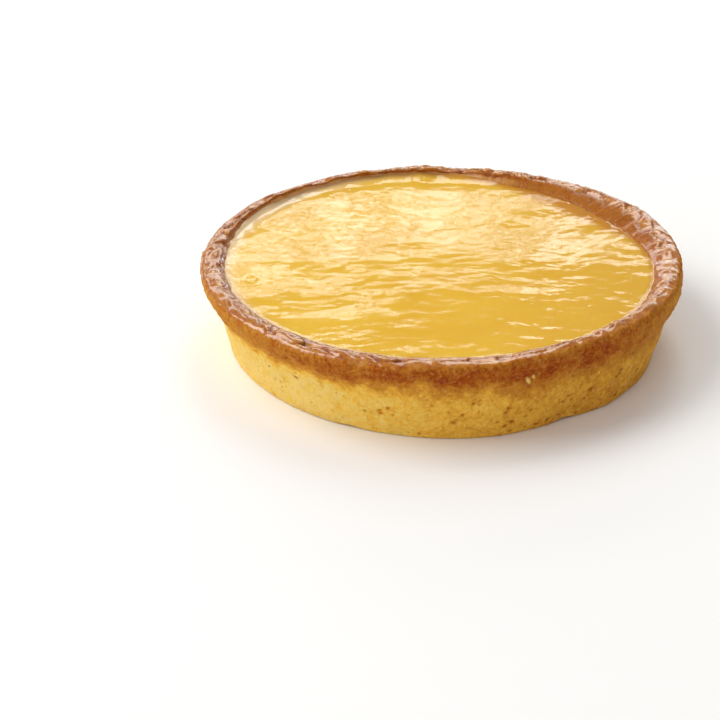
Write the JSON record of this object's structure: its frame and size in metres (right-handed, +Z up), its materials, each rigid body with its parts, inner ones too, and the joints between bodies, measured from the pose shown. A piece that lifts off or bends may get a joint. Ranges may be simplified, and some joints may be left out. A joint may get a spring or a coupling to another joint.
{
  "type": "lemon tartlet",
  "caption": "Round open tartlet: a slanted shortcrust cup with a browned, craggy rim, filled almost level with smooth lemon curd.",
  "frame": {"origin": "middle of the tartlet's width and depth, on the flat underside", "axes": "+Z up, square to the underside; +X to the right and +Y away from the viewer in the pictured view"},
  "size_m": [0.0992, 0.0972, 0.0186],
  "materials": {
    "shortcrust": null,
    "lemon_curd": null
  },
  "bodies": {
    "root": {"shortcrust_shell": "shortcrust", "lemon_curd": "lemon_curd"}
  },
  "joints": []
}
